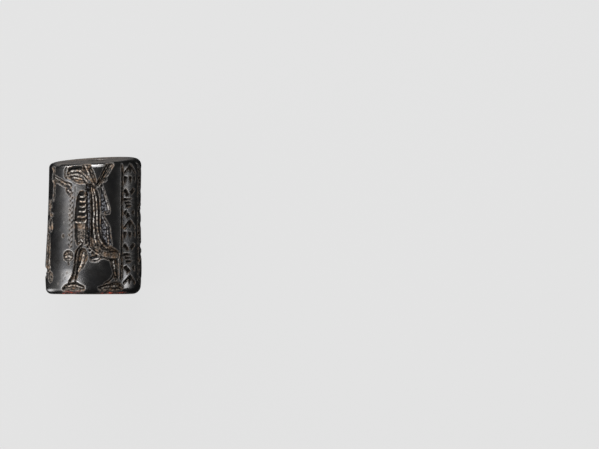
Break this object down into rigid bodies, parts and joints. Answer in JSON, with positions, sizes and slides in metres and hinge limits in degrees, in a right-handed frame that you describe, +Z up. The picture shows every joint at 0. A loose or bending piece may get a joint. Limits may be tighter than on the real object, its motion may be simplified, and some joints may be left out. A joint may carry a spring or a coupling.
{
  "type": "cylinder seal",
  "caption": "Polished dark stone cylinder, slightly tapered and drilled end to end, with robed figures and panels of wedge strokes engraved round its wall.",
  "frame": {"origin": "under the middle of the stone as it lies, where its bounding box meets the surface", "axes": "+Y along the stone's axis towards its head end, +Z up through the line that faces up when it lies on its worn flat"},
  "size_m": [0.0174, 0.0248, 0.0173],
  "materials": {
    "stone": "polished, with brown earth in the cuts"
  },
  "bodies": {
    "root": {"seal": "stone"}
  },
  "joints": []
}
